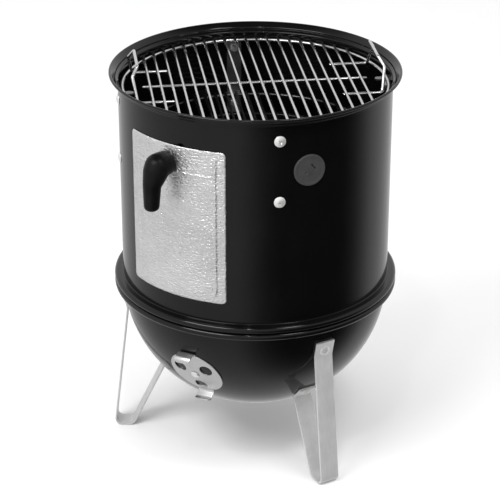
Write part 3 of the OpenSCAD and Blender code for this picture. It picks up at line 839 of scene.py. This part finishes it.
def grommet_mesh():
    """Round flange on the curved wall, a shallow dished middle with a slit, and a small ringed hole."""
    radii = np.concatenate([np.linspace(0.4, 16.6, 28), np.linspace(17, 19.2, 6), np.linspace(19.5, 21, 8)])
    sides = 144
    a = np.arange(sides) * 2 * math.pi / sides
    r, w = np.meshgrid(radii, a, indexing="ij")
    x, y = r * np.cos(w), r * np.sin(w)
    edge = np.clip((21 - r) / 1.6, 0, 1)
    top = 0.35 + 1.85 * np.sqrt(1 - (1 - edge) ** 2)
    top -= 0.55 / (1 + np.exp((r - 17.2) / 0.35))
    du, dv = math.cos(math.radians(39)), math.sin(math.radians(39))
    along, off = (x + 4) * du + (y - 5) * dv, (y - 5) * du - (x + 4) * dv
    slit = np.exp(-(off / 1.0) ** 2) / (1 + np.exp((np.abs(along) - 5) / 0.3))
    top -= 2.2 * slit
    q = np.hypot(x - 3.3, y + 5)
    top += 0.35 * np.exp(-((q - 2.7) / 0.5) ** 2) - 1.4 * np.exp(-(q / 1.2) ** 2)
    shape = Shape()
    rows = []
    for height in (top, np.full_like(top, -3.4)):
        angle = math.radians(GROMMET_AZ) + y / BODY_R
        rad = BODY_R + height
        rows.append(np.stack([rad * np.cos(angle), rad * np.sin(angle), GROMMET_Z - x], -1).reshape(-1, 3))
    n = len(radii) * sides
    faces = []
    for i in range(len(radii) - 1):
        a, b = i * sides, (i + 1) * sides
        faces += [(a + k, b + k, b + (k + 1) % sides, a + (k + 1) % sides) for k in range(sides)]
    back = [tuple(v + n for v in f[::-1]) for f in faces]
    rim = [((len(radii) - 1) * sides + k, (len(radii) - 1) * sides + k + n,
            (len(radii) - 1) * sides + (k + 1) % sides + n, (len(radii) - 1) * sides + (k + 1) % sides)
           for k in range(sides)]
    caps = [tuple(range(sides)), tuple(range(n, n + sides))[::-1]]
    shape.add(np.concatenate(rows), faces + back + rim + caps)
    made = shape.mesh("grommet")
    smooth(made, 45)
    return made


place("probe_grommet_rubber", grommet_mesh(), silicone, "middle", ["probe_grommet"])


# ---- Water pan ----

def pan_mesh():
    z = 407.3
    line = bent([(152, z - 2.6), (152, z + 3), (147, z + 3), (126, z - 84), (0, z - 84)], [1.6, 3, 34], 10)
    line = subdivided(line, 9)
    outline = sheet_outline(line, 1.2)
    made = Shape().add(*revolved([(max(0, r), y) for r, y in outline], 200)).mesh("pan")
    smooth(made, 40)
    return made


place("water_pan_enamel", pan_mesh(), enamel, "pan", ["water_pan"])


# ---- Grates ----

def weld(p, r, az):
    """A flattened bead where two wires are melted together."""
    outline = [(r * math.sin(w), -r * 0.55 * math.cos(w)) for w in np.linspace(0, math.pi, 7)]
    verts, faces = revolved(outline, 12)
    m = np.array(Matrix.Translation(p)) @ turn_z(az) @ np.diag((1.25, 0.85, 1, 1))
    return verts, faces, m


def grate(name, body, ring_r, ring_z, ring_d, bar_z, bar_d, count, pitch, az, over, material,
          cross=True):
    """A ring, the bars that lie on it and one bar that ties them from below."""
    ring = Shape().add(*tube(ring_path(ring_r, ring_z), ring_d / 2, 16, closed=True))
    seam = turn_z(az + 61)
    ring.add(*weld(np.array((ring_r, 0, ring_z)) @ seam[:3, :3].T, ring_d * 0.62, az + 61 + 90))
    bars = Shape()
    rng = np.random.default_rng(count)
    for i in range(count):
        y = (i - (count - 1) / 2) * pitch
        half = math.sqrt(ring_r ** 2 - y * y)
        lean = rng.uniform(-0.35, 0.35)
        path = [(-half - over, y, bar_z), (-half / 2, y + lean, bar_z), (0, y + lean, bar_z),
                (half / 2, y + lean, bar_z), (half + over, y, bar_z)]
        m = turn_z(az)
        bars.add(*tube(path, bar_d / 2, 14), m)
        for sx in (-1, 1):
            verts, faces, w = weld((sx * half, y, bar_z - bar_d / 2 + 0.2), bar_d * 0.62, 0)
            bars.add(verts, faces, m @ w)
        if cross:
            verts, faces, w = weld((0, y + lean, bar_z - bar_d / 2 + 0.2), bar_d * 0.6, 90)
            bars.add(verts, faces, m @ w)
    made = ring.mesh(f"{name}_hoop")
    smooth(made, 50)
    place(f"{name}_hoop", made, material, body, [f"{name}_ring"])
    made = bars.mesh(f"{name}_rods")
    smooth(made, 50)
    place(f"{name}_rods", made, material, body, [f"{name}_bars"])
    if cross:
        half = (count - 1) / 2 * pitch + 8
        z = bar_z - bar_d + 0.6
        path = [(0, s, z) for s in np.linspace(-half, half, 9)]
        made = Shape().add(*tube(path, bar_d / 2, 14), turn_z(az)).mesh(f"{name}_tie")
        smooth(made, 50)
        place(f"{name}_tie", made, material, body, [f"{name}_cross_bar"])


grate("upper_grate", "upper_grate", 174, 508.3, 5, UPPER_BAR_Z, 3.6, 20, 14.6, GRATE_AZ + 90, 2.2,
      grate_wire)
# The lower grate takes the wire darkened to paint the shade inside the bowl.
grate("lower_grate", "lower_grate", 160, 432.8, 5, 436.5, 3.6, 20, 14.6, GRATE_AZ + 90, 2.2,
      shade_darkened_wire)
grate("charcoal_grate", "charcoal_grate", 142, 153.3, 6, 158.2, 5, 14, 19, GRATE_AZ, 2,
      charcoal_steel, cross=False)


def handle_mesh(az):
    """Wire loop with round bends: two feet under the bars, two risers and a level top."""
    z = UPPER_BAR_Z - 1.8 - 2 + 0.6
    half = [(108, -57, z), (158, -57, z), (163, -40, z + 29), (156, -30.5, z + 40.5)]
    corners = half + [(x, -y, h) for x, y, h in half[::-1]]
    p = [np.asarray(c, float) for c in corners]
    path = [p[0]]
    for i, r in enumerate((5, 6, 5, 5, 6, 5), 1):
        u, v = unit(p[i - 1] - p[i]), unit(p[i + 1] - p[i])
        turn = math.acos(np.clip(u @ v, -1, 1)) / 2
        m = p[i] + unit(u + v) * r / math.sin(turn)
        s, e = p[i] + u * r / math.tan(turn) - m, p[i] + v * r / math.tan(turn) - m
        sweep = math.acos(np.clip(unit(s) @ unit(e), -1, 1))
        path += [m + (s * math.sin((1 - w) * sweep) + e * math.sin(w * sweep)) / math.sin(sweep)
                 for w in np.linspace(0, 1, 8)]
    path.append(p[-1])
    made = Shape().add(*tube(path, 2, 14), turn_z(az)).mesh("handle")
    smooth(made, 50)
    return made


for name, az in (("right", GRATE_AZ), ("left", GRATE_AZ + 180)):
    place(f"upper_handle_{name}_wire", handle_mesh(az), grate_wire, "upper_grate", [f"upper_handle_{name}"])


# ---- CAD nodes that stay ----

carried = {
    # The brackets, charcoal supports and latch tongue take the sheet darkened to paint the shade inside the
    # bowl.
    "charcoal_supports": shade_darkened_steel, "charcoal_ring": charcoal_steel,
    "bracket_front_right": shade_darkened_steel, "bracket_rear_right": shade_darkened_steel,
    "bracket_rear_left": shade_darkened_steel, "bracket_front_left": shade_darkened_steel,
    "door_ledge": door_sheet, "latch_tongue": shade_darkened_steel, "latch_washer": plating, "latch_screw": plating,
}
for name, material in carried.items():
    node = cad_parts[name]
    node.data.materials.clear()
    node.data.materials.append(material)
    for poly in node.data.polygons:
        poly.material_index = 0


# ---- Stage ----

def stage():
    outline = [(0, -40), (9000, -40), (9000, 0), (0, 0)]
    floor = temporary(Shape().add(*revolved(outline, 96)).mesh("floor"))
    floor.name = "floor"
    m = Nodes("floor_paint")
    soft = m.noise(3, 3, 0.5)
    paint = m.colours(soft, (0.3, grey(0.93)), (0.7, grey(0.95)))
    floor.data.materials.append(m.finish(paint, Roughness=0.9))
    floor.visible_glossy = False

    world = bpy.data.worlds.new("studio")
    bpy.context.scene.world = world
    world.use_nodes = True
    t = world.node_tree
    t.nodes.clear()

    def node(kind, **settings):
        n = t.nodes.new(kind)
        for key, value in settings.items():
            setattr(n, key, value)
        return n

    coord = node("ShaderNodeTexCoord").outputs["Generated"]

    def lobe(direction, start, end):
        """1 near a direction, falling to 0; start and end are cosines of the angle from it."""
        dot = node("ShaderNodeVectorMath", operation="DOT_PRODUCT")
        dot.inputs[1].default_value = tuple(unit(direction))
        t.links.new(coord, dot.inputs[0])
        r = node("ShaderNodeMapRange", interpolation_type="SMOOTHSTEP")
        for key, value in zip(("From Min", "From Max", "To Min", "To Max"), (end, start, 0, 1)):
            r.inputs[key].default_value = value
        t.links.new(dot.outputs["Value"], r.inputs["Value"])
        return r.outputs["Result"]

    def mix(factor, a, b):
        m = node("ShaderNodeMix", data_type="RGBA")
        t.links.new(factor, m.inputs[0])
        for socket, value in ((m.inputs[6], a), (m.inputs[7], b)):
            if isinstance(value, (int, float)):
                socket.default_value = (value, value, value, 1)
            else:
                t.links.new(value, socket)
        return m.outputs[2]

    def at(az, el):
        a, e = math.radians(az), math.radians(el)
        return (math.cos(e) * math.cos(a), math.cos(e) * math.sin(a), math.sin(e))

    base = mix(lobe((0, 0, 1), 0.3, -0.5), 0.75, 0.95)
    dark = mix(lobe(at(-5, -25), math.cos(math.radians(22)), math.cos(math.radians(62))), base, 0.02)
    ceiling = lobe((0, 0, 1), math.cos(math.radians(20)), math.cos(math.radians(50)))
    path = node("ShaderNodeLightPath").outputs
    overhead = node("ShaderNodeMath", operation="MULTIPLY")
    t.links.new(ceiling, overhead.inputs[0])
    t.links.new(path["Is Glossy Ray"], overhead.inputs[1])
    out = node("ShaderNodeOutputWorld")
    colour = mix(path["Is Camera Ray"], mix(overhead.outputs[0], dark, 0.06), 1.0)
    back = node("ShaderNodeBackground")
    t.links.new(colour, back.inputs["Color"])
    back.inputs["Strength"].default_value = 1.0
    t.links.new(back.outputs["Background"], out.inputs["Surface"])

    def softbox(name, az, el, distance, size, power):
        lamp = bpy.data.lights.new(name, "AREA")
        lamp.shape, lamp.size, lamp.size_y, lamp.energy = "RECTANGLE", size[0], size[1], power
        o = bpy.data.objects.new(name, lamp)
        bpy.context.scene.collection.objects.link(o)
        centre = Vector((0, 0, 0.3))
        direction = Vector(at(az, el))
        o.location = centre + direction * distance
        o.rotation_mode = "QUATERNION"
        o.rotation_quaternion = direction.to_track_quat("Z", "Y")

    softbox("key", -100, 48, 2.2, (1.2, 0.8), 26)
    softbox("fill", -10, 62, 2.4, (0.5, 0.5), 10)
    softbox("sparkle", -62, 60, 2.4, (0.09, 0.09), 3)

    cam = bpy.data.cameras.new("camera")
    o = bpy.data.objects.new("camera", cam)
    bpy.context.scene.collection.objects.link(o)
    az, el, distance, aside, height = 35.959, 25.254, 2.5994, -0.0071, 0.2667
    a, e = math.radians(az), math.radians(el)
    back_dir = Vector((math.sin(a) * math.cos(e), -math.cos(a) * math.cos(e), math.sin(e)))
    right = Vector((math.cos(a), math.sin(a), 0))
    o.location = Vector((0, 0, height)) + right * aside + back_dir * distance
    o.rotation_mode = "QUATERNION"
    o.rotation_quaternion = back_dir.to_track_quat("Z", "Y")
    cam.sensor_width = 36
    cam.lens = 137.335
    cam.clip_start, cam.clip_end = 0.05, 60
    bpy.context.scene.camera = o
    bpy.context.scene.view_settings.view_transform = "Standard"
    bpy.context.scene.view_settings.look = "None"


stage()

bpy.context.view_layer.update()
